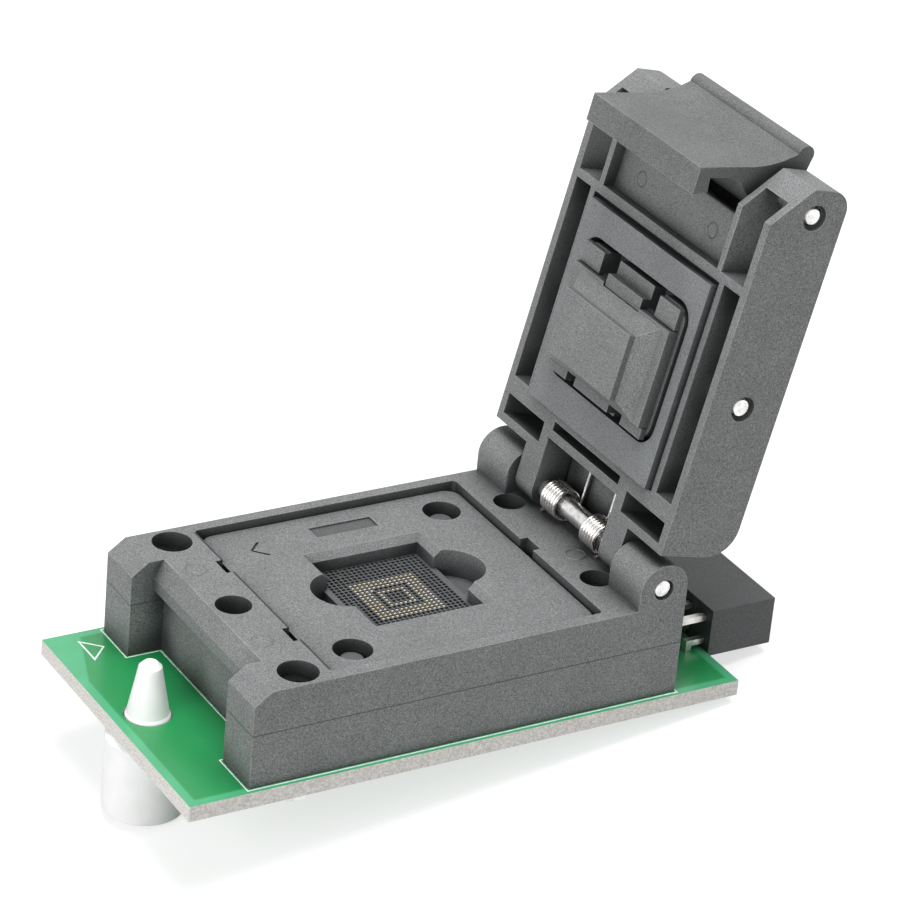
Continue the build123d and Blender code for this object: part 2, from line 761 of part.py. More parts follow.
# Pusher holder: sliding on the pin, with four spring wells and two claws for the insert
holder_face = plate_face - holder_lip
slot_width = 2 * (pusher_pin_radius + pin_clearance)
slot_low = pusher_pin_n - pusher_stroke - slot_width / 2
slot_high = pusher_pin_n + slot_width / 2
holder_top = slot_high + holder_cap
wells = [(pusher_u + a * well_u, b * well_y) for a in (-1, 1) for b in (-1, 1)]
insert_u = pusher_u - insert_shift
claw_root = claw_height - claw_thickness
with BuildPart() as pusher_holder:
    with BuildSketch(face(holder_face)):
        with Locations((holder_u, 0)):
            RectangleRounded(holder_length, holder_width, holder_corner)
    extrude(amount=holder_top - holder_face)
    with BuildSketch(side(-holder_width / 2)):
        with Locations((pusher_u, (slot_low + slot_high) / 2)):
            SlotOverall(slot_high - slot_low, slot_width, rotation=90)
    extrude(amount=holder_width, mode=Mode.SUBTRACT)
    with BuildSketch(face(holder_top - holder_well)):
        with Locations(wells):
            Circle(pusher_spring_radius + spring_clearance)
    extrude(amount=holder_well, mode=Mode.SUBTRACT)
    for s in (-1, 1):
        edge_u = insert_u + s * (insert_length / 2 + claw_gap)
        end_u = holder_u + s * holder_length / 2
        # corner blocks beyond the insert, and the gaps beside the claw
        with BuildSketch(face(holder_face - block_rise)):
            for t in (-1, 1):
                block_y = t * (hook_half + hook_slot + insert_width / 2) / 2
                with Locations(((edge_u + end_u - s * claw_gap) / 2, block_y)):
                    Rectangle(abs(end_u - edge_u) - claw_gap, insert_width / 2 - hook_half - hook_slot)
        extrude(amount=block_rise)
        with BuildSketch(face(holder_face)):
            for t in (-1, 1):
                with Locations(((edge_u + end_u) / 2, t * (hook_half + hook_slot / 2))):
                    Rectangle(abs(end_u - edge_u), hook_slot)
        extrude(amount=slot_depth, mode=Mode.SUBTRACT)
        with BuildSketch(side(-hook_half)):
            with BuildLine():
                Polyline(
                    (edge_u, holder_face),
                    (edge_u, holder_face - claw_root),
                    (edge_u - s * claw_reach, holder_face - claw_root),
                    (edge_u - s * claw_reach, holder_face - claw_height),
                    (edge_u + s * claw_length, holder_face - claw_height),
                    (edge_u + s * claw_length, holder_face),
                    close=True,
                )
            make_face()
        extrude(amount=2 * hook_half)
save(pusher_holder, "pusher_holder")

# Pusher insert: block with notches for the claws, and the raised pad that meets the chip
pad_u = pusher_u - pad_shift
with BuildPart() as pusher_insert:
    with BuildSketch(face(block_face)):
        with Locations((insert_u, 0)):
            Rectangle(insert_length, insert_width)
    extrude(amount=holder_face - block_face)
    with BuildSketch(face(pad_face)):
        with Locations((pad_u, 0)):
            Rectangle(pad_length, pad_width)
    extrude(amount=pad_step)
    with BuildSketch(face(pad_face + pad_step)):
        with Locations((pad_u, 0)):
            Rectangle(pad_length, pad_width)
    extrude(amount=pad_height - pad_step, taper=-45)
    with BuildSketch(face(block_face)):
        for s in (-1, 1):
            with Locations((insert_u + s * insert_length / 2, 0)):
                Rectangle(2 * claw_reach, 2 * (hook_half + claw_gap))
    extrude(amount=holder_face - claw_root + claw_gap - block_face, mode=Mode.SUBTRACT)
save(pusher_insert, "pusher_insert")

# Springs that push the pusher towards the chip
with BuildPart() as pusher_springs:
    with BuildSketch(face(holder_top - holder_well)):
        with Locations(wells):
            Circle(pusher_spring_radius)
            Circle(pusher_spring_radius - 2 * pusher_spring_wire, mode=Mode.SUBTRACT)
    extrude(amount=roof_n - holder_top + holder_well)
save(pusher_springs, "pusher_springs")

# Latch: arm with a barb below, boss on its pin and a thumb lip above
arm_bend = (barb_outer + arm_widening, arm_bend_n)
lip_under = (lip_u - lip_roll, lip_n - lip_roll)
lip_over = (lip_u - lip_roll, lip_n + lip_roll)
lip_end = (latch_u + lip_slope_u, latch_n + latch_boss + lip_slope_n)
slot_side = 2 * (latch_boss + latch_slot_shift)
with BuildPart() as latch:
    with BuildSketch(side(-latch_half)):
        with BuildLine():
            Polyline(
                (latch_u - latch_boss, latch_n),
                (latch_u - latch_boss, latch_n - latch_boss),
                (arm_inner, -latch_boss),
                (arm_inner + arm_slack, barb_top + latch_boss),
                (arm_inner, barb_top - barb_relief),
                (barb_inner + barb_slope, barb_top),
                (barb_inner, barb_bottom),
                (barb_outer, barb_bottom),
                arm_bend,
            )
            ThreePointArc(arm_bend, (arm_bend_u, arm_bend_mid), lip_under)
            ThreePointArc(lip_under, (lip_u, lip_n), lip_over)
            Line(lip_over, lip_end)
            Line(lip_end, (latch_u, latch_n + latch_boss))
            RadiusArc((latch_u, latch_n + latch_boss), (latch_u - latch_boss, latch_n), -latch_boss)
        make_face()
    extrude(amount=2 * latch_half)
    with BuildSketch(side(-latch_half)):
        with Locations((latch_u, latch_n)):
            Circle(latch_pin_radius + pin_clearance)
    extrude(amount=2 * latch_half, mode=Mode.SUBTRACT)
    with BuildSketch(side(-latch_bay_gap)):
        with Locations((latch_u - latch_slot_shift, latch_n + latch_slot_shift)):
            Rectangle(slot_side, slot_side)
    extrude(amount=2 * latch_bay_gap, mode=Mode.SUBTRACT)
save(latch, "latch")

# Spring of the latch, wound round its pin
with BuildPart() as latch_spring:
    with BuildSketch(side(-latch_spring_length / 2)):
        with Locations((latch_u, latch_n)):
            Circle(latch_spring_radius)
            Circle(latch_spring_radius - latch_spring_wire, mode=Mode.SUBTRACT)
    extrude(amount=latch_spring_length)
save(latch_spring, "latch_spring")
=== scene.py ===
import json
from math import cos, pi, radians, sin

import bmesh
import bpy
from mathutils import Matrix, Vector


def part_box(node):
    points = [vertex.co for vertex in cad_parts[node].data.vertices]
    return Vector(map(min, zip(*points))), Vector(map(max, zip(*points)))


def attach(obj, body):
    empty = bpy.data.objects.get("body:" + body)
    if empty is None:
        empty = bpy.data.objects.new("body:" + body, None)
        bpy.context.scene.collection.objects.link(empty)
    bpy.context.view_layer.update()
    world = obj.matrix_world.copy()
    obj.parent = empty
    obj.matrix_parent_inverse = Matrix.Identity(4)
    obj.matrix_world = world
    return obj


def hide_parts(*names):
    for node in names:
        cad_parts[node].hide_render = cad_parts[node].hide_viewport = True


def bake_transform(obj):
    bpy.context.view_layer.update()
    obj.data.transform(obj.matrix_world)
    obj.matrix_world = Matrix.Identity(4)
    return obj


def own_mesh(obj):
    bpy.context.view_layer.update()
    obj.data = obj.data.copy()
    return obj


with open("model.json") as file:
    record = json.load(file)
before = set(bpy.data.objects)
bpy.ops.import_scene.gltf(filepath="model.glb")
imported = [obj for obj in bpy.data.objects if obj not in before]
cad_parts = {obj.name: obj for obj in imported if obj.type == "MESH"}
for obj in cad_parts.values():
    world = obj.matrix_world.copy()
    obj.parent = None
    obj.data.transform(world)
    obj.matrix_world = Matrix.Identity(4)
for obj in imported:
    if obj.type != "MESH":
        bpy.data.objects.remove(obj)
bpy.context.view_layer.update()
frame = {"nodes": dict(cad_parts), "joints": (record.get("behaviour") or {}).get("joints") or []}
nodes = frame["nodes"]
mm = 0.001
print("frame loaded:", len(nodes), "nodes")


# Camera, at the angle that the picture was taken from

cameraView = {
    "azimuth": -32.369,
    "elevation": 27.362,
    "roll": 5.467,
    "distance": 369.13,
    "target": (6.115, 2.335, 12.964),
    "lens": 156.296,
    "sensor": 36,
}


def makeCamera(v):
    az, el = radians(v["azimuth"]), radians(v["elevation"])
    back = Vector((sin(az) * cos(el), -cos(az) * cos(el), sin(el)))
    turn = Matrix.Rotation(radians(v["roll"]), 3, back)
    right = turn @ Vector((cos(az), sin(az), 0))
    up = back.cross(right)
    data = bpy.data.cameras.new("camera")
    data.lens, data.sensor_width = v["lens"], v["sensor"]
    data.clip_start, data.clip_end = 0.01, 10
    camera = bpy.data.objects.new("camera", data)
    bpy.context.scene.collection.objects.link(camera)
    place = Matrix((right, up, back)).transposed().to_4x4()
    place.translation = (Vector(v["target"]) + back * v["distance"]) * mm
    camera.matrix_world = place
    bpy.context.scene.camera = camera


makeCamera(cameraView)


# Small helpers for node trees

def addNode(tree, kind, inputs=None, **settings):
    node = tree.nodes.new(kind)
    for name, value in settings.items():
        setattr(node, name, value)
    for name, value in (inputs or {}).items():
        node.inputs[name].default_value = value
    return node


def mathNode(tree, operation, first, second=None, third=None, clamp=False):
    node = addNode(tree, "ShaderNodeMath", operation=operation, use_clamp=clamp)
    for index, value in enumerate((first, second, third)):
        if isinstance(value, (int, float)):
            node.inputs[index].default_value = value
        elif value is not None:
            tree.links.new(value, node.inputs[index])
    return node.outputs[0]


def mixColour(tree, factor, first, second, blend="MIX"):
    node = addNode(tree, "ShaderNodeMix", data_type="RGBA", blend_type=blend)
    for index, value in ((0, factor), (6, first), (7, second)):
        if isinstance(value, bpy.types.NodeSocket):
            tree.links.new(value, node.inputs[index])
        elif isinstance(value, (int, float)):
            node.inputs[index].default_value = value
        else:
            node.inputs[index].default_value = (*value, 1)
    return node.outputs[2]


def rampNode(tree, source, low, high, fromValue=0.0, toValue=1.0):
    node = addNode(tree, "ShaderNodeMapRange", {1: low, 2: high, 3: fromValue, 4: toValue})
    node.clamp = True
    tree.links.new(source, node.inputs[0])
    return node.outputs[0]


def noiseNode(tree, vector, scale, detail=2.0, roughness=0.5):
    node = addNode(tree, "ShaderNodeTexNoise", {"Scale": scale, "Detail": detail, "Roughness": roughness})
    tree.links.new(vector, node.inputs["Vector"])
    return node.outputs[0]


def newGroup(name, inputs, outputs):
    group = bpy.data.node_groups.new(name, "ShaderNodeTree")
    for label, kind in inputs:
        group.interface.new_socket(label, in_out="INPUT", socket_type="NodeSocket" + kind)
    for label, kind in outputs:
        group.interface.new_socket(label, in_out="OUTPUT", socket_type="NodeSocket" + kind)
    return group, group.nodes.new("NodeGroupInput").outputs, group.nodes.new("NodeGroupOutput").inputs


def newMaterial(name, **shader):
    material = bpy.data.materials.new(name)
    material.use_nodes = True
    tree = material.node_tree
    surface = tree.nodes["Principled BSDF"]
    for label, value in shader.items():
        surface.inputs[label.replace("_", " ")].default_value = value
    return material, tree, surface


def dress(piece, material):
    piece.data.materials.clear()
    piece.data.materials.append(material)


def objectPlace(tree):
    return tree.nodes.new("ShaderNodeTexCoord").outputs["Object"]


def addBump(tree, surface, height, v):
    bump = addNode(tree, "ShaderNodeBump", {"Strength": v["bump"], "Distance": v["bumpDepth"]})
    tree.links.new(height, bump.inputs["Height"])
    tree.links.new(bump.outputs[0], surface.inputs["Normal"])


def seenDirectly(tree):
    seen = tree.nodes.new("ShaderNodeLightPath")
    direct = mathNode(tree, "MAXIMUM", seen.outputs["Is Camera Ray"], seen.outputs["Is Glossy Ray"])
    return mathNode(tree, "MAXIMUM", direct, seen.outputs["Is Transmission Ray"])


# Glass-filled moulding: fine specks, faint flow marks, a painted highlight along the edges and painted shade
# in recesses

grainLook = {
    "specks": (9500, 3, 0.7), "fibres": (9000, 2, 0.55), "flow": (210, 4, 0.55),
    "fibreTurn": (0.3, 0.5, 0.9), "fibreStretch": (1, 0.22, 1),
    "speckFrom": (0.52, 0.75), "fibreFrom": (0.6, 0.78), "fibreShare": 0.8,
    "pitFrom": (0.52, 0.34), "pitShare": 0.75, "pitColour": (0.02, 0.02, 0.02),
    # edge values: a painted highlight along the edges, patchy with the flow noise
    "edgeFrom": (0.99, 0.86), "edgeSamples": 4, "highlightPatchFrom": (0.35, 0.6), "leastHighlight": 0.45,
    # recess values: painted shade in deep and narrow places
    "recessFrom": (0.9, 0.5), "recessSamples": 6, "recessColour": (0.012, 0.013, 0.014),
    "cloudFrom": (0.3, 0.7), "roughFrom": (0.3, 0.7), "rough": (0.62, 0.46), "bumpDepth": 0.05 * mm,
}


def makeGrainGroup(v):
    # Edge and Edge Width set the painted edge highlight, Recess and Recess Reach the painted shade in
    # recesses
    inputs = (("Base", "Color"), ("Speck", "Color"), ("Speck Amount", "Float"), ("Grain", "Float"),
              ("Flow", "Float"), ("Edge", "Float"), ("Edge Width", "Float"),
              ("Recess", "Float"), ("Recess Reach", "Float"))
    outputs = (("Color", "Color"), ("Roughness", "Float"), ("Normal", "Vector"))
    tree, given, out = newGroup("glassFilledGrain", inputs, outputs)
    place = objectPlace(tree)
    stretched = addNode(tree, "ShaderNodeMapping", {"Rotation": v["fibreTurn"], "Scale": v["fibreStretch"]})
    tree.links.new(place, stretched.inputs["Vector"])
    specks = noiseNode(tree, place, *v["specks"])
    fibres = noiseNode(tree, stretched.outputs[0], *v["fibres"])
    flow = noiseNode(tree, place, *v["flow"])
    # share of pale specks and fibres, and of dark pits between them
    speckMask = rampNode(tree, specks, *v["speckFrom"])
    fibreMask = rampNode(tree, fibres, *v["fibreFrom"])
    pale = mathNode(tree, "MAXIMUM", speckMask, mathNode(tree, "MULTIPLY", fibreMask, v["fibreShare"]))
    pale = mathNode(tree, "MULTIPLY", pale, given["Speck Amount"])
    pits = rampNode(tree, specks, *v["pitFrom"], 0, v["pitShare"])
    # painted highlight along the edges, where a rounded normal leaves the face's own, made patchy by the
    # flow noise
    rounded = addNode(tree, "ShaderNodeBevel", samples=v["edgeSamples"])
    tree.links.new(given["Edge Width"], rounded.inputs["Radius"])
    faceNormal = tree.nodes.new("ShaderNodeNewGeometry").outputs["True Normal"]
    alike = addNode(tree, "ShaderNodeVectorMath", operation="DOT_PRODUCT")
    tree.links.new(rounded.outputs[0], alike.inputs[0])
    tree.links.new(faceNormal, alike.inputs[1])
    edge = rampNode(tree, alike.outputs["Value"], *v["edgeFrom"])
    edge = mathNode(tree, "MULTIPLY", edge, given["Edge"])
    edge = mathNode(tree, "MULTIPLY", edge, rampNode(tree, flow, *v["highlightPatchFrom"], v["leastHighlight"], 1))
    # colour
    shade = mixColour(tree, pits, given["Base"], v["pitColour"])
    shade = mixColour(tree, pale, shade, given["Speck"])
    # painted highlight on the edges, in the speck's pale colour
    shade = mixColour(tree, edge, shade, given["Speck"])
    # painted shade in deep and narrow places, darkened by ambient occlusion
    hollow = addNode(tree, "ShaderNodeAmbientOcclusion", samples=v["recessSamples"])
    tree.links.new(given["Recess Reach"], hollow.inputs["Distance"])
    recess = rampNode(tree, hollow.outputs["AO"], *v["recessFrom"])
    recess = mathNode(tree, "MULTIPLY", recess, given["Recess"])
    shade = mixColour(tree, recess, shade, v["recessColour"])
    cloud = rampNode(tree, flow, *v["cloudFrom"], -1, 1)
    cloud = mathNode(tree, "MULTIPLY_ADD", cloud, given["Flow"], 1)
    clouded = addNode(tree, "ShaderNodeVectorMath", operation="SCALE")
    tree.links.new(shade, clouded.inputs[0])
    tree.links.new(cloud, clouded.inputs["Scale"])
    tree.links.new(clouded.outputs[0], out["Color"])
    tree.links.new(rampNode(tree, specks, *v["roughFrom"], *v["rough"]), out["Roughness"])
    bump = addNode(tree, "ShaderNodeBump", {"Distance": v["bumpDepth"]})
    tree.links.new(given["Grain"], bump.inputs["Strength"])
    tree.links.new(specks, bump.inputs["Height"])
    tree.links.new(rounded.outputs[0], bump.inputs["Normal"])
    tree.links.new(bump.outputs[0], out["Normal"])
    return tree


grainGroup = makeGrainGroup(grainLook)


# Mask of what lies inside a box, for painted shade in seams and gaps and for darker sunk places

def makeBoxGroup():
    inputs = (("Low", "Vector"), ("High", "Vector"), ("Soft", "Float"))
    tree, given, out = newGroup("insideBox", inputs, (("Mask", "Float"),))
    place = objectPlace(tree)
    reach = []
    for first, second in ((place, given["Low"]), (given["High"], place)):
        apart = addNode(tree, "ShaderNodeVectorMath", operation="SUBTRACT")
        tree.links.new(first, apart.inputs[0])
        tree.links.new(second, apart.inputs[1])
        reach.append(apart.outputs[0])
    least = addNode(tree, "ShaderNodeVectorMath", operation="MINIMUM")
    tree.links.new(reach[0], least.inputs[0])
    tree.links.new(reach[1], least.inputs[1])
    split = addNode(tree, "ShaderNodeSeparateXYZ")
    tree.links.new(least.outputs[0], split.inputs[0])
    inside = mathNode(tree, "MINIMUM", split.outputs["Y"], split.outputs["Z"])
    inside = mathNode(tree, "MINIMUM", split.outputs["X"], inside)
    tree.links.new(mathNode(tree, "DIVIDE", inside, given["Soft"], clamp=True), out["Mask"])
    return tree


boxGroup = makeBoxGroup()
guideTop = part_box("chip_guide")[1].z / mm
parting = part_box("lower_housing")[1].z / mm
# painted shade along the parting line and painted shadow in the gap beside the chip guide; the sunk label
# and corner mark darker in place of their engraved text
darkPlaces = {
    "partingLineShade": {
        "low": (-30, -20, parting - 0.08), "high": (30, 20, parting + 0.08), "soft": 0.04, "amount": 0.8,
    },
    "guideGapShadow": {"low": (-14.82, -13.6, 2.4), "high": (-14.5, 13.6, 3.0), "soft": 0.03, "amount": 0.95},
    "labelPlace": {
        "low": (-3.6, 9.6, guideTop - 0.3), "high": (3.2, 11.6, guideTop - 0.05),
        "soft": 0.03, "amount": 0.5,
    },
    "cornerMark": {
        "low": (-11.2, 8, guideTop - 0.3), "high": (-8.9, 11.2, guideTop - 0.05),
        "soft": 0.03, "amount": 0.7,
    },
}


# Plastics: each with its own values, and with the painted shade in seams and gaps and the darker sunk marks
# that it has

def plasticMaterial(name, v):
    material, tree, surface = newMaterial(name, Specular_IOR_Level=v["gloss"])
    grain = addNode(tree, "ShaderNodeGroup", node_tree=grainGroup)
    grain.inputs["Base"].default_value = (*v["base"], 1)
    grain.inputs["Speck"].default_value = (*v["speck"], 1)
    for label in ("Speck Amount", "Grain", "Flow", "Edge", "Edge Width", "Recess", "Recess Reach"):
        grain.inputs[label].default_value = v[label]
    colour = grain.outputs["Color"]
    # painted shade in seams and gaps, and darker sunk marks, mixed in with the recess colour
    for dark in (darkPlaces[place] for place in v.get("dark", ())):
        box = addNode(tree, "ShaderNodeGroup", node_tree=boxGroup)
        box.inputs["Low"].default_value = Vector(dark["low"]) * mm
        box.inputs["High"].default_value = Vector(dark["high"]) * mm
        box.inputs["Soft"].default_value = dark["soft"] * mm
        mask = mathNode(tree, "MULTIPLY", box.outputs["Mask"], dark["amount"])
        colour = mixColour(tree, mask, colour, grainLook["recessColour"])
    tree.links.new(colour, surface.inputs["Base Color"])
    tree.links.new(grain.outputs["Roughness"], surface.inputs["Roughness"])
    tree.links.new(grain.outputs["Normal"], surface.inputs["Normal"])
    return material


plastics = {
    "socketPlastic": {
        "base": (0.165, 0.171, 0.172), "speck": (0.6, 0.605, 0.6), "gloss": 0.4,
        "Speck Amount": 0.34, "Grain": 0.9, "Flow": 0.08, "Edge": 0.42, "Edge Width": 0.14 * mm,
        "Recess": 0.94, "Recess Reach": 3.5 * mm,
    },
    # the latch: a darker copy of the socket plastic, painted shade
    "shadedLatchPlastic": {
        "base": (0.115, 0.12, 0.12), "speck": (0.55, 0.55, 0.55), "gloss": 0.4,
        "Speck Amount": 0.28, "Grain": 0.9, "Flow": 0.12, "Edge": 0.5, "Edge Width": 0.16 * mm,
        "Recess": 0.94, "Recess Reach": 3.5 * mm,
    },
    "platePlastic": {
        "base": (0.18, 0.188, 0.195), "speck": (0.5, 0.505, 0.5), "gloss": 0.45,
        "Speck Amount": 0.2, "Grain": 0.35, "Flow": 0.1, "Edge": 0.5, "Edge Width": 0.12 * mm,
        "Recess": 0.85, "Recess Reach": 2.5 * mm,
    },
    "headerPlastic": {
        "base": (0.055, 0.058, 0.06), "speck": (0.25, 0.25, 0.25), "gloss": 0.5,
        "Speck Amount": 0.18, "Grain": 0.2, "Flow": 0.1, "Edge": 0.3, "Edge Width": 0.12 * mm,
        "Recess": 0.8, "Recess Reach": 2.5 * mm,
    },
    "perforatedPlastic": {
        "base": (0.09, 0.096, 0.1), "speck": (0.3, 0.3, 0.3), "gloss": 0.45,
        "Speck Amount": 0.25, "Grain": 0.3, "Flow": 0.06, "Edge": 0.3, "Edge Width": 0.05 * mm,
        "Recess": 0.6, "Recess Reach": 1.0 * mm,
    },
}
# body: painted shade along the parting line and painted shadow in the gap beside the chip guide
plastics["bodyPlastic"] = plastics["socketPlastic"] | {"dark": ("partingLineShade", "guideGapShadow")}
plastics["guidePlastic"] = plastics["socketPlastic"] | {"dark": ("labelPlace", "cornerMark")}
made = {name: plasticMaterial(name, values) for name, values in plastics.items()}
print("plastics made")


# Bright and dark metals: drawn wire, turned pins, tinned contacts

metalLook = {
    "drawn": (3, 0.6), "stained": (3, 0.6), "stainFrom": (0.42, 0.68),
    "lightFrom": (0.35, 0.7), "lightShare": 0.35, "roughFrom": (0.3, 0.7), "bumpDepth": 0.02 * mm,
}


def metalMaterial(name, v):
    material, tree, surface = newMaterial(name, Metallic=1.0)
    place = objectPlace(tree)
    stretched = addNode(tree, "ShaderNodeMapping", {"Scale": v["stretch"]})
    tree.links.new(place, stretched.inputs["Vector"])
    drawn = noiseNode(tree, stretched.outputs[0], v["scratch"], *v["drawn"])
    stain = noiseNode(tree, place, v["stain"], *v["stained"])
    colour = mixColour(tree, rampNode(tree, stain, *v["stainFrom"]), v["base"], v["tarnish"])
    light = rampNode(tree, drawn, *v["lightFrom"], 0, v["lightShare"])
    tree.links.new(mixColour(tree, light, colour, v["light"]), surface.inputs["Base Color"])
    rough = rampNode(tree, drawn, *v["roughFrom"], v["smooth"], v["rough"])
    tree.links.new(rough, surface.inputs["Roughness"])
    addBump(tree, surface, drawn, v)
    return material


metals = {
    "brightSteel": {
        "base": (0.8, 0.8, 0.79), "tarnish": (0.5, 0.49, 0.48), "light": (0.92, 0.92, 0.92), "bump": 0.45,
        "stretch": (1, 0.1, 1), "scratch": 5200, "stain": 1500, "smooth": 0.22, "rough": 0.42,
    },
    "springWire": {
        "base": (0.7, 0.68, 0.66), "tarnish": (0.5, 0.48, 0.46), "light": (0.8, 0.79, 0.78), "bump": 0.04,
        "stretch": (1, 1, 1), "scratch": 1800, "stain": 400, "smooth": 0.2, "rough": 0.3,
    },
    "darkSteel": {
        "base": (0.03, 0.03, 0.032), "tarnish": (0.015, 0.015, 0.015), "light": (0.07, 0.07, 0.07),
        "bump": 0.3, "stretch": (1, 1, 1), "scratch": 3000, "stain": 1200, "smooth": 0.35, "rough": 0.55,
    },
    "tinnedContact": {
        "base": (0.66, 0.65, 0.62), "tarnish": (0.46, 0.44, 0.4), "light": (0.85, 0.85, 0.83), "bump": 0.2,
        "stretch": (0.3, 1, 0.3), "scratch": 2600, "stain": 900, "smooth": 0.22, "rough": 0.4,
    },
    "contactGold": {
        "base": (0.86, 0.68, 0.36), "tarnish": (0.8, 0.8, 0.76), "light": (1.0, 0.9, 0.68), "bump": 0.2,
        "stretch": (1, 1, 1), "scratch": 3000, "stain": 420, "smooth": 0.14, "rough": 0.3,
    },
}
made.update({name: metalMaterial(name, metalLook | values) for name, values in metals.items()})
print("metals made")


# Support post: white nylon

nylonLook = {
    "base": (0.82, 0.82, 0.82), "shade": (0.77, 0.77, 0.765), "haze": (420, 3, 0.5),
    "shadeFrom": (0.35, 0.7), "depth": 0.25, "radius": (1, 1, 1), "scale": 0.6 * mm,
    "roughFrom": (0.3, 0.7), "rough": (0.34, 0.5), "bump": 0.15, "bumpDepth": 0.03 * mm,
}


def nylonMaterial(v):
    material, tree, surface = newMaterial("whiteNylon", Subsurface_Weight=v["depth"])
    surface.inputs["Subsurface Radius"].default_value = v["radius"]
    surface.inputs["Subsurface Scale"].default_value = v["scale"]
    haze = noiseNode(tree, objectPlace(tree), *v["haze"])
    colour = mixColour(tree, rampNode(tree, haze, *v["shadeFrom"]), v["base"], v["shade"])
    tree.links.new(colour, surface.inputs["Base Color"])
    tree.links.new(rampNode(tree, haze, *v["roughFrom"], *v["rough"]), surface.inputs["Roughness"])
    addBump(tree, surface, haze, v)
    return material


made["whiteNylon"] = nylonMaterial(nylonLook)


# Board: green solder mask over a copper pour, pale cut edges of glass fibre

boardLook = {
    "green": (0.008, 0.23, 0.062), "deep": (0.006, 0.17, 0.045), "bare": (0.06, 0.36, 0.17),
    "edgeLight": (0.72, 0.70, 0.66), "edgeDark": (0.42, 0.4, 0.38),
    "margin": 0.9 * mm, "blur": 0.12 * mm, "cornerReach": 3.0 * mm, "cornerSlant": 0.35,
    "weave": 900, "weaveBend": 0.6, "weaveDetail": 1.0, "weaveShare": 0.05,
    "mottle": (320, 3, 0.55), "deepFrom": (0.35, 0.7), "deepShare": 0.22,
    "cutFrom": (0.7, 0.5), "fibre": (5000, 4, 0.7), "fibreFrom": (0.38, 0.66),
    "plyStretch": (0.2, 0.2, 1), "plies": (3800, 2, 0.6), "plyFrom": (0.5, 0.7), "plyShare": 0.45,
    "coat": 0.35, "coatRough": 0.16, "roughFrom": (0.3, 0.7), "rough": (0.28, 0.4), "cutRough": 0.4,
    "pourHeight": 0.6, "bump": 0.3, "bumpDepth": 0.03 * mm,
}


def boardMaterial(v):
    material, tree, surface = newMaterial("solderMask", Coat_Weight=v["coat"], Coat_Roughness=v["coatRough"])
    place = objectPlace(tree)
    split = addNode(tree, "ShaderNodeSeparateXYZ")
    tree.links.new(place, split.inputs[0])
    # copper pour: inside the board's edge by a margin
    low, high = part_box("board")
    fromLeft = mathNode(tree, "SUBTRACT", split.outputs["X"], low.x)
    fromRight = mathNode(tree, "SUBTRACT", high.x, split.outputs["X"])
    fromSide = mathNode(tree, "SUBTRACT", high.y, mathNode(tree, "ABSOLUTE", split.outputs["Y"]))
    near = mathNode(tree, "MINIMUM", mathNode(tree, "MINIMUM", fromLeft, fromRight), fromSide)
    # lighter green towards the marked corner, up to a slanted line
    fromBack = mathNode(tree, "SUBTRACT", high.y, split.outputs["Y"])
    corner = mathNode(tree, "ADD", fromLeft, mathNode(tree, "MULTIPLY", fromBack, v["cornerSlant"]))
    near = mathNode(tree, "MINIMUM", near, mathNode(tree, "SUBTRACT", corner, v["cornerReach"]))
    pour = rampNode(tree, near, v["margin"] - v["blur"], v["margin"] + v["blur"])
    weave = addNode(tree, "ShaderNodeTexWave", {
        "Scale": v["weave"], "Distortion": v["weaveBend"], "Detail": v["weaveDetail"]})
    tree.links.new(place, weave.inputs["Vector"])
    mottle = noiseNode(tree, place, *v["mottle"])
    mask = mixColour(tree, pour, v["bare"], v["green"])
    mask = mixColour(tree, rampNode(tree, mottle, *v["deepFrom"], 0, v["deepShare"]), mask, v["deep"])
    threads = mathNode(tree, "MULTIPLY", weave.outputs["Fac"], v["weaveShare"])
    mask = mixColour(tree, threads, mask, v["bare"])
    # cut edges and the walls of the holes
    normal = addNode(tree, "ShaderNodeSeparateXYZ")
    tree.links.new(tree.nodes.new("ShaderNodeNewGeometry").outputs["Normal"], normal.inputs[0])
    cut = rampNode(tree, mathNode(tree, "ABSOLUTE", normal.outputs["Z"]), *v["cutFrom"])
    fibre = noiseNode(tree, place, *v["fibre"])
    layers = addNode(tree, "ShaderNodeMapping", {"Scale": v["plyStretch"]})
    tree.links.new(place, layers.inputs["Vector"])
    plies = noiseNode(tree, layers.outputs[0], *v["plies"])
    edge = mixColour(tree, rampNode(tree, fibre, *v["fibreFrom"]), v["edgeLight"], v["edgeDark"])
    edge = mixColour(tree, rampNode(tree, plies, *v["plyFrom"], 0, v["plyShare"]), edge, v["edgeDark"])
    tree.links.new(mixColour(tree, cut, mask, edge), surface.inputs["Base Color"])
    rough = rampNode(tree, mottle, *v["roughFrom"], *v["rough"])
    rough = mathNode(tree, "ADD", rough, mathNode(tree, "MULTIPLY", cut, v["cutRough"]))
    tree.links.new(rough, surface.inputs["Roughness"])
    raised = mathNode(tree, "MULTIPLY", pour, v["pourHeight"])
    addBump(tree, surface, mathNode(tree, "ADD", mathNode(tree, "MULTIPLY", fibre, cut), raised), v)
    return material


made["solderMask"] = boardMaterial(boardLook)


# White ink of the board's print, worn thin in places

inkLook = {
    "ink": (0.78, 0.82, 0.79), "worn": (0.5, 0.62, 0.54), "patch": (2600, 3, 0.6), "wornFrom": (0.35, 0.7),
    "rough": 0.55,
}


def inkMaterial(v):
    material, tree, surface = newMaterial("whiteInk", Roughness=v["rough"])
    patch = rampNode(tree, noiseNode(tree, objectPlace(tree), *v["patch"]), *v["wornFrom"])
    tree.links.new(mixColour(tree, patch, v["ink"], v["worn"]), surface.inputs["Base Color"])
    return material


made["whiteInk"] = inkMaterial(inkLook)
print("board and post finishes made")

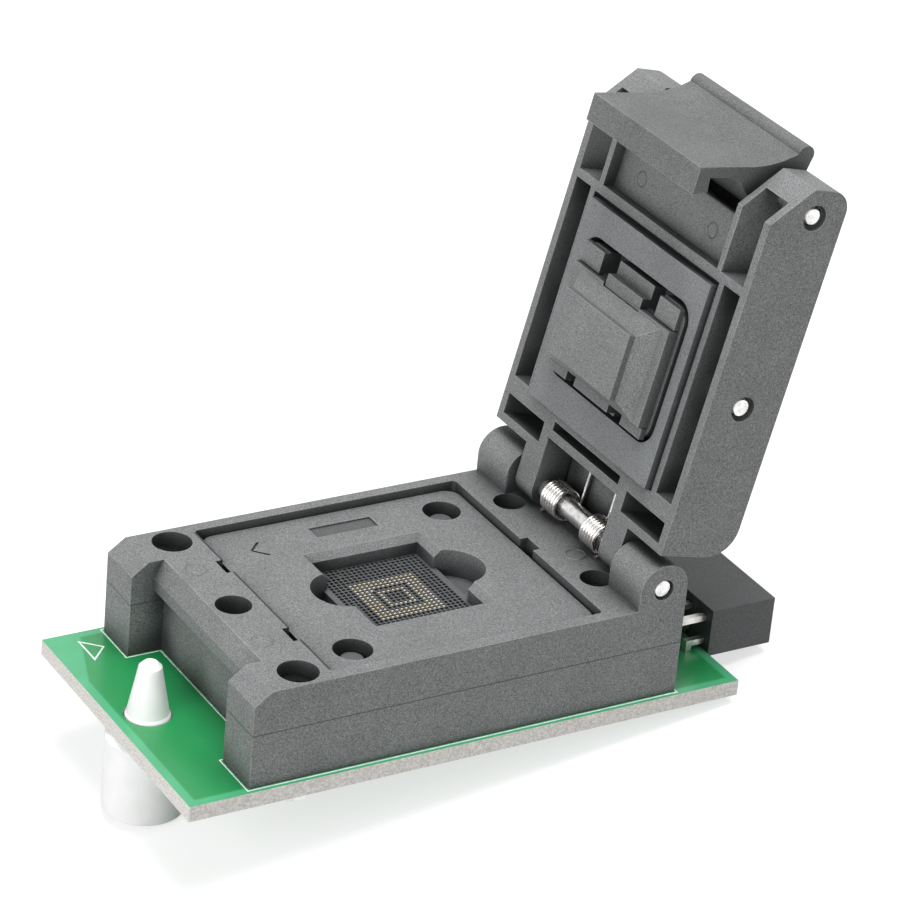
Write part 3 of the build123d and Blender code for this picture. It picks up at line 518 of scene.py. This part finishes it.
finishes = {
    "solderMask": ["board"],
    "whiteNylon": ["support_post"],
    "headerPlastic": ["header_shell"],
    "tinnedContact": ["header_contacts", "screw_nuts"],
    "bodyPlastic": ["lower_housing", "upper_frame"],
    "guidePlastic": ["chip_guide"],
    "socketPlastic": ["contact_block", "lid_frame", "pusher_holder", "pusher_insert", "contact_plate"],
    "shadedLatchPlastic": ["latch"],
    "platePlastic": ["pressure_plate"],
    "contactGold": ["contact_tips"],
    "brightSteel": ["hinge_pin", "pusher_pin", "latch_pin"],
    "darkSteel": ["frame_screws"],
    "springWire": ["hinge_spring", "latch_spring", "nest_springs", "pusher_springs"],
}
for finish, members in finishes.items():
    for member in members:
        dress(nodes[member], made[finish])
print("finishes on the nodes")


# Places that the pieces share, in millimetres: the hinge axis and the lid's own directions

joints = {joint["name"]: joint for joint in frame["joints"]}
hinge = Vector(joints["lid_hinge"]["pos_m"]) / mm
leanAngle = radians(13)
lidUp = Vector((sin(leanAngle), 0, cos(leanAngle)))
lidOut = Vector((cos(leanAngle), 0, -sin(leanAngle)))
tolerance = 0.01


def onLid(u, y, n):
    return hinge + lidUp * u + Vector((0, y, 0)) + lidOut * n


# Small helpers for meshes

def addPiece(name, shape, body, finish, replaced=(), smooth=40):
    bmesh.ops.scale(shape, vec=(mm, mm, mm), verts=shape.verts)
    mesh = bpy.data.meshes.new(name)
    shape.to_mesh(mesh)
    shape.free()
    mesh.shade_smooth()
    mesh.set_sharp_from_angle(angle=radians(smooth))
    piece = bpy.data.objects.new(name, mesh)
    bpy.context.scene.collection.objects.link(piece)
    dress(piece, made[finish])
    if body:
        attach(piece, body)
    if replaced:
        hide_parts(*replaced)
    return piece


def newVerts(result):
    return [g for g in result["geom"] if isinstance(g, bmesh.types.BMVert)]


def newEdges(result):
    fresh = set(newVerts(result))
    return [g for g in result["geom"] if isinstance(g, bmesh.types.BMEdge) and fresh.issuperset(g.verts)]


def openEdges(shape):
    return [e for e in shape.edges if len(e.link_faces) == 1]


def addRound(shape, radius, steps, filled=False):
    verts = bmesh.ops.create_circle(shape, cap_ends=filled, radius=radius, segments=steps)["verts"]
    return verts, list(dict.fromkeys(e for corner in verts for e in corner.link_edges))


# extends open edges by new walls: first wider or narrower about a point, then up or down
def extend(shape, edges, rise=0, grow=(1, 1), about=(0, 0)):
    grown = bmesh.ops.extrude_edge_only(shape, edges=edges)
    verts = newVerts(grown)
    around = Matrix.Translation((-about[0], -about[1], 0))
    bmesh.ops.scale(shape, vec=(*grow, 1), space=around, verts=verts)
    bmesh.ops.translate(shape, vec=(0, 0, rise), verts=verts)
    return newEdges(grown), verts


def thicken(shape, faces, vector):
    grown = bmesh.ops.extrude_face_region(shape, geom=faces)
    bmesh.ops.translate(shape, vec=vector, verts=newVerts(grown))
    bmesh.ops.recalc_face_normals(shape, faces=shape.faces)


def roundEdges(shape, edges, radius, segments):
    bmesh.ops.bevel(
        shape, geom=edges, offset=radius, affect="EDGES", segments=segments, profile=0.5, material=-1)


# Perforated contact plate: every hole of the grid, the island, the flange and the two locating posts

contactPlate = {
    "columns": 22, "rows": 26, "pitch": 0.5, "hole": 0.34, "margin": 0.6, "rise": 0.9, "flange": 1.2,
    "corner": 1.5, "cornerSteps": 6, "centre": -0.3, "merge": 0.001, "postRadius": 1.2, "postSteps": 28,
    "posts": ((10.4, 10.05), (-10.4, -10.05)), "postProfile": ((1.65, 1), (0.245, 0.9), (0.105, 0.72)),
}


def onRim(edge, halfLength, halfWidth):
    middle = (edge.verts[0].co + edge.verts[1].co) / 2
    return abs(abs(middle.x) - halfLength) < tolerance or abs(abs(middle.y) - halfWidth) < tolerance


def addFlangeOutline(shape, v):
    low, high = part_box("contact_plate")
    half = (high - low) / mm / 2
    verts, edges = addRound(shape, v["corner"], 4 * v["cornerSteps"])
    turn = Matrix.Rotation(pi / 4 / v["cornerSteps"], 3, "Z")
    bmesh.ops.rotate(shape, cent=(0, 0, 0), matrix=turn, verts=verts)
    for corner in verts:
        corner.co.x += (half.x - v["corner"]) * (1 if corner.co.x > 0 else -1) + v["centre"]
        corner.co.y += (half.y - v["corner"]) * (1 if corner.co.y > 0 else -1)
        corner.co.z = -v["rise"]
    return edges


def makePlate(v):
    shape = bmesh.new()
    length, width = v["columns"] * v["pitch"], v["rows"] * v["pitch"]
    depth = v["rise"] + v["flange"]
    bmesh.ops.create_grid(shape, x_segments=v["columns"], y_segments=v["rows"], size=0.5)
    bmesh.ops.scale(shape, vec=(length, width, 1), verts=shape.verts)
    cells = list(shape.faces)
    bmesh.ops.inset_individual(shape, faces=cells, thickness=(v["pitch"] - v["hole"]) / 2, depth=0)
    rim = openEdges(shape)
    whole = set(cells)
    lattice = [face for face in shape.faces if face not in whole]
    bars = list(dict.fromkeys(e for face in lattice for e in face.edges))
    lower = bmesh.ops.duplicate(shape, geom=lattice + bars)
    bmesh.ops.translate(shape, vec=(0, 0, -depth), verts=newVerts(lower))
    rimBelow = [e for e in newEdges(lower) if len(e.link_faces) == 1 and onRim(e, length / 2, width / 2)]
    # island's margin and its walls
    island = (1 + 2 * v["margin"] / length, 1 + 2 * v["margin"] / width)
    foot, _ = extend(shape, extend(shape, rim, grow=island)[0], -v["rise"])
    # top of the flange, and the posts on it
    outline = addFlangeOutline(shape, v)
    posts = []
    for x, y in v["posts"]:
        verts, edges = addRound(shape, v["postRadius"], v["postSteps"])
        bmesh.ops.translate(shape, vec=(x, y, -v["rise"]), verts=verts)
        posts.append(edges)
    bmesh.ops.triangle_fill(shape, use_beauty=True, edges=foot + outline + posts[0] + posts[1])
    for edges, place in zip(posts, v["posts"]):
        for rise, grow in v["postProfile"]:
            edges, _ = extend(shape, edges, rise, (grow, grow), place)
        bmesh.ops.edgeloop_fill(shape, edges=edges)
    # flange wall, the holes down through the plate, and the underside
    under, _ = extend(shape, outline, -v["flange"])
    walls = bmesh.ops.extrude_face_region(shape, geom=cells)
    bmesh.ops.translate(shape, vec=(0, 0, -depth), verts=newVerts(walls))
    bottoms = [g for g in walls["geom"] if isinstance(g, bmesh.types.BMFace)]
    bmesh.ops.delete(shape, geom=bottoms + [c for c in cells if c.is_valid], context="FACES_ONLY")
    bmesh.ops.triangle_fill(shape, use_beauty=True, edges=under + rimBelow)
    bmesh.ops.remove_doubles(shape, verts=shape.verts, dist=v["merge"])
    bmesh.ops.recalc_face_normals(shape, faces=shape.faces)
    addPiece("perforated_plate", shape, "nest", "perforatedPlastic",
             ["contact_plate"], smooth=35)


makePlate(contactPlate)
print("contact plate made")


# Springs of round wire

def wireRing(shape, wire, centre, heading, sides=10):
    verts, edges = addRound(shape, wire / 2, sides)
    turn = Vector(heading).to_track_quat("Z", "Y").to_matrix()
    bmesh.ops.rotate(shape, cent=(0, 0, 0), matrix=turn, verts=verts)
    bmesh.ops.translate(shape, vec=centre, verts=verts)
    return verts + edges


def runWire(shape, ring, vector):
    edges = [g for g in ring if isinstance(g, bmesh.types.BMEdge)]
    grown = bmesh.ops.extrude_edge_only(shape, edges=edges)
    bmesh.ops.translate(shape, vec=vector, verts=newVerts(grown))
    return newVerts(grown) + newEdges(grown)


def bendWire(shape, ring, centre, axis, angle, steps, climb=(0, 0, 0)):
    spun = bmesh.ops.spin(
        shape, geom=ring, cent=centre, axis=axis, dvec=Vector(climb) / steps, angle=angle, steps=steps)
    return [g for g in spun["geom_last"] if isinstance(g, (bmesh.types.BMVert, bmesh.types.BMEdge))]


def closeWire(shape):
    bmesh.ops.holes_fill(shape, edges=openEdges(shape), sides=0)
    bmesh.ops.recalc_face_normals(shape, faces=shape.faces)


hingeSpring = {
    "wire": 0.4, "radius": 1.5, "outerEnd": 5.02, "innerEnd": 2.34, "foot": 1.2, "loop": 6.6, "bend": 0.9,
    "wholeTurns": 6, "stepsPerTurn": 26, "bendSteps": 8,
}


def makeHingeSpring(v, side, name):
    shape = bmesh.new()
    start = hinge + Vector((-v["foot"], side * v["outerEnd"], -v["radius"]))
    ring = wireRing(shape, v["wire"], start, (1, 0, 0))
    ring = runWire(shape, ring, (v["foot"], 0, 0))
    turns = v["wholeTurns"] + (pi / 2 - leanAngle) / (2 * pi)
    climb = (0, side * (v["innerEnd"] - v["outerEnd"]), 0)
    ring = bendWire(shape, ring, hinge, (0, -1, 0), 2 * pi * turns, int(turns * v["stepsPerTurn"]), climb)
    ring = runWire(shape, ring, lidUp * (v["loop"] - v["bend"]))
    corner = onLid(v["loop"] - v["bend"], side * (v["innerEnd"] - v["bend"]), v["radius"])
    across = Vector((0, -side, 0))
    ring = bendWire(shape, ring, corner, lidUp.cross(across), pi / 2, v["bendSteps"])
    runWire(shape, ring, across * (v["innerEnd"] - v["bend"]))
    closeWire(shape)
    piece = addPiece(name, shape, None, "springWire", smooth=60)
    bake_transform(piece)
    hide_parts("hinge_spring")


makeHingeSpring(hingeSpring, 1, "hinge_spring_far")
makeHingeSpring(hingeSpring, -1, "hinge_spring_near")


# Coil springs with closed ends

def coilSpring(shape, v, foot, axis, length):
    axis = Vector(axis)
    side = axis.orthogonal().normalized()
    start = Vector(foot) + side * (v["outer"] - v["wire"] / 2) + axis * v["wire"] / 2
    ring = wireRing(shape, v["wire"], start, axis.cross(side), v["sides"])
    rise = v["wire"] * v["closed"]
    openRise = length - v["wire"] - 2 * rise
    for turns, climb in ((v["closed"], rise), (v["turns"], openRise), (v["closed"], rise)):
        steps = int(turns * v["stepsPerTurn"])
        ring = bendWire(shape, ring, foot, axis, 2 * pi * turns, steps, axis * climb)


nestSprings = {
    "outer": 1.2, "wire": 0.3, "closed": 1, "turns": 3, "stepsPerTurn": 16, "sides": 8, "travel": 0.45,
}
pusherSprings = {
    "outer": 1.2, "wire": 0.35, "closed": 1, "turns": 5, "stepsPerTurn": 16, "sides": 8, "stroke": 1.9,
    "halfAlong": 4.2, "halfAcross": 5.6, "low": 0.5, "roof": 5.65, "middle": 18.8,
}
latchSpring = {
    "outer": 1.5, "wire": 0.35, "closed": 1, "turns": 7, "stepsPerTurn": 20, "sides": 8, "length": 3.6,
}


def makeNestSprings(v):
    low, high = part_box("nest_springs")
    low, high = low / mm, high / mm
    shape = bmesh.new()
    for x in (low.x + v["outer"], high.x - v["outer"]):
        for y in (low.y + v["outer"], high.y - v["outer"]):
            coilSpring(shape, v, (x, y, low.z), (0, 0, 1), high.z - low.z)
    closeWire(shape)
    piece = addPiece("nest_coils", shape, "base", "springWire", ["nest_springs"], 60)
    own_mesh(piece)


def makePusherSprings(v):
    shape = bmesh.new()
    for u in (v["middle"] - v["halfAlong"], v["middle"] + v["halfAlong"]):
        for y in (-v["halfAcross"], v["halfAcross"]):
            coilSpring(shape, v, onLid(u, y, v["low"]), lidOut, v["roof"] - v["low"])
    closeWire(shape)
    piece = addPiece("pusher_coils", shape, "lid", "springWire",
                     ["pusher_springs"], smooth=60)
    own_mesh(piece)


def makeLatchSpring(v):
    shape = bmesh.new()
    middle = Vector(joints["latch_pivot"]["pos_m"]) / mm
    coilSpring(shape, v, middle - Vector((0, v["length"] / 2, 0)), (0, 1, 0), v["length"])
    closeWire(shape)
    addPiece("latch_coil", shape, "lid", "springWire", ["latch_spring"], smooth=60)


makeNestSprings(nestSprings)
makePusherSprings(pusherSprings)
makeLatchSpring(latchSpring)
print("springs made")


# Lid's curved wall behind the hinge spring

springWall = {
    "half": 7.2, "round": 0.12, "roundSteps": 2, "sharp": 60,
    "profile": (
        (3.6, 1.9), (2.2, 1.95), (1.2, 2.1), (0.3, 2.3), (-0.8, 2.4),
        (-0.8, 3.1), (0.6, 3.15), (2.2, 3.3), (3.6, 3.7),
    ),
}


def makeSpringWall(v):
    shape = bmesh.new()
    face = shape.faces.new([shape.verts.new(onLid(u, -v["half"], n)) for u, n in v["profile"]])
    thicken(shape, [face], (0, 2 * v["half"], 0))
    ends = [e for e in shape.edges if e.calc_face_angle(0) > radians(v["sharp"])]
    roundEdges(shape, ends, v["round"], v["roundSteps"])
    addPiece("lid_spring_wall", shape, "lid", "socketPlastic", smooth=48)


makeSpringWall(springWall)


# Shallow floor of the bay below the latch

bayFloor = {
    "start": 30.3, "end": 35.4, "half": 9.95, "face": -0.5, "thick": 1.0, "round": 0.25, "roundSteps": 3,
}


def makeBayFloor(v):
    shape = bmesh.new()
    corners = [(v[u], y, v["face"]) for u, y in (
        ("start", -v["half"]), ("end", -v["half"]), ("end", v["half"]), ("start", v["half"]))]
    face = shape.faces.new([shape.verts.new(onLid(*corner)) for corner in corners])
    thicken(shape, [face], lidOut * v["thick"])
    atEnd = [e for e in shape.edges
             if all((c.co - hinge).dot(lidUp) > v["end"] - tolerance for c in e.verts)]
    roundEdges(shape, [e for e in atEnd if e.calc_length() > v["half"]], v["round"], v["roundSteps"])
    addPiece("lid_bay_floor", shape, "lid", "socketPlastic", smooth=40)


makeBayFloor(bayFloor)


# White print on the board: the socket's outline and the corner triangle

boardPrint = {
    "gap": 0.28, "width": 0.13, "rise": 0.02, "recess": 3.6, "recessHalf": 9.95,
    "triangle": ((-26.21, 14.23), (-26.18, 10.33), (-24.2, 12.37)), "triangleWidth": 0.17,
}


def printOutline(shape, points, z, width):
    face = shape.faces.new([shape.verts.new((x, y, z)) for x, y in points])
    face.normal_update()
    bmesh.ops.inset_region(
        shape, faces=[face], thickness=width, use_even_offset=True, use_boundary=True)
    bmesh.ops.delete(shape, geom=[face], context="FACES_ONLY")


def makeBoardPrint(v):
    shape = bmesh.new()
    low, high = (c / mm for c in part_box("lower_housing"))
    z = low.z + v["rise"]
    left, right = low.x - v["gap"], high.x + v["gap"]
    front, back = low.y - v["gap"], high.y + v["gap"]
    inner, recess = v["recessHalf"] - v["gap"], low.x + v["recess"] - v["gap"]
    outline = (
        (left, front), (right, front), (right, back), (left, back),
        (left, inner), (recess, inner), (recess, -inner), (left, -inner),
    )
    printOutline(shape, outline, z, v["width"])
    printOutline(shape, v["triangle"], z, v["triangleWidth"])
    thicken(shape, list(shape.faces), (0, 0, -v["rise"]))
    addPiece("board_print", shape, "base", "whiteInk", smooth=30)


makeBoardPrint(boardPrint)


# Solder round the tails of the header's pins, under the board

solderJoints = {
    "radius": 0.85, "profile": ((0.52, 0.405), (0.4, 0.495)), "steps": 14,
    "rows": 2, "pinsPerRow": 8, "pitch": 2.54, "rowInset": 1.6,
}


def makeSolder(v):
    shape = bmesh.new()
    low, high = (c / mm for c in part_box("board"))
    for row in range(v["rows"]):
        x = high.x - v["rowInset"] - row * v["pitch"]
        for pin in range(v["pinsPerRow"]):
            y = (pin - (v["pinsPerRow"] - 1) / 2) * v["pitch"]
            verts, edges = addRound(shape, v["radius"], v["steps"], filled=True)
            bmesh.ops.translate(shape, vec=(x, y, low.z), verts=verts)
            radius = v["radius"]
            for size, drop in v["profile"]:
                edges, _ = extend(shape, edges, -drop, (size / radius, size / radius), (x, y))
                radius = size
            bmesh.ops.edgeloop_fill(shape, edges=edges)
    bmesh.ops.recalc_face_normals(shape, faces=shape.faces)
    addPiece("solder_joints", shape, "base", "tinnedContact", smooth=60)


makeSolder(solderJoints)


# Ejector pin rings left on the mouldings

ejectorRings = {
    "width": 0.14, "rise": 0.06, "steps": 36, "aboveGuide": 0.75,
    "frame": ((-17.8, 7.15, 1.1), (-18.1, -6.8, 1.1), (17.4, -3.4, 1.05)),
    "bay": ((32.7, -6.1, 0.8), (32.7, 6.1, 0.8)),
}


def addRing(shape, v, radius, place, turn):
    verts, foot = addRound(shape, radius, v["steps"])
    grow = 1 - v["width"] / 2 / radius
    edges = foot
    for rise in (v["rise"], -v["rise"]):
        edges, fresh = extend(shape, edges, rise, (grow, grow))
        verts = verts + fresh
    bmesh.ops.bridge_loops(shape, edges=edges + foot)
    bmesh.ops.rotate(shape, cent=(0, 0, 0), matrix=turn, verts=verts)
    bmesh.ops.translate(shape, vec=place, verts=verts)


def addRingPiece(name, v, rings, body, turn):
    shape = bmesh.new()
    for place, radius in rings:
        addRing(shape, v, radius, place, turn)
    bmesh.ops.recalc_face_normals(shape, faces=shape.faces)
    addPiece(name, shape, body, "socketPlastic", smooth=70)


def makeRings(v):
    top = guideTop + v["aboveGuide"]
    rings = [((x, y, top), radius) for x, y, radius in v["frame"]]
    addRingPiece("frame_ejector_rings", v, rings, "base", Matrix.Identity(3))
    rings = [(onLid(u, y, bayFloor["face"]), radius) for u, y, radius in v["bay"]]
    turn = (-lidOut).to_track_quat("Z", "Y").to_matrix()
    addRingPiece("lid_ejector_rings", v, rings, "lid", turn)


makeRings(ejectorRings)
print("small details made")


# Floor, as the part stands: on the post's foot and on the tails of the header's pins

studioFloor = {"half": 3.0, "colour": (0.4, 0.4, 0.4), "rough": 0.9, "lift": 0.66}


def makeFloor(v):
    foot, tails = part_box("support_post"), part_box("header_contacts")
    first = Vector((foot[1].x, 0, foot[0].z))
    second = Vector((tails[0].x, 0, tails[0].z))
    mesh = bpy.data.meshes.new("floor")
    shape = bmesh.new()
    along = (second - first).normalized()
    across = Vector((0, 1, 0))
    middle = (first + second) / 2
    signs = ((-1, -1), (1, -1), (1, 1), (-1, 1))
    corners = [middle + (along * a + across * b) * v["half"] for a, b in signs]
    shape.faces.new([shape.verts.new(c) for c in corners])
    shape.to_mesh(mesh)
    shape.free()
    floor = bpy.data.objects.new("floor", mesh)
    bpy.context.scene.collection.objects.link(floor)
    material, tree, surface = newMaterial("paleFloor", Roughness=v["rough"])
    surface.inputs["Base Color"].default_value = (*v["colour"], 1)
    surface.inputs["Emission Color"].default_value = (1, 1, 1, 1)
    lift = mathNode(tree, "MULTIPLY", seenDirectly(tree), v["lift"])
    tree.links.new(lift, surface.inputs["Emission Strength"])
    floor.data.materials.append(material)


makeFloor(studioFloor)


# Soft studio light: a pale room, a large lamp above and a weaker one low on the left

studioLight = {
    "room": 0.3,
    "lamps": {
        "lampAbove": {"size": 0.3, "power": 2.9, "place": (0.02, -0.04, 0.5), "aim": (0.005, 0, 0.01)},
        "lampFront": {"size": 0.3, "power": 2.15, "place": (-0.46, -0.2, 0.2), "aim": (0.01, 0, 0.015)},
    },
}


def makeWorld(light):
    world = bpy.data.worlds.new("studio")
    bpy.context.scene.world = world
    world.use_nodes = True
    tree = world.node_tree
    back = tree.nodes["Background"]
    back.inputs["Color"].default_value = (1, 1, 1, 1)
    tree.links.new(rampNode(tree, seenDirectly(tree), 0, 1, light, 1), back.inputs["Strength"])


def makeLamp(name, v):
    data = bpy.data.lights.new(name, "AREA")
    data.shape, data.size, data.energy = "SQUARE", v["size"], v["power"]
    lamp = bpy.data.objects.new(name, data)
    bpy.context.scene.collection.objects.link(lamp)
    place, aim = Vector(v["place"]), Vector(v["aim"])
    lamp.location = place
    lamp.rotation_euler = (place - aim).to_track_quat("Z", "Y").to_euler()


makeWorld(studioLight["room"])
for name, values in studioLight["lamps"].items():
    makeLamp(name, values)
print("floor and lamps in place")


bpy.context.scene.view_settings.view_transform = "Standard"
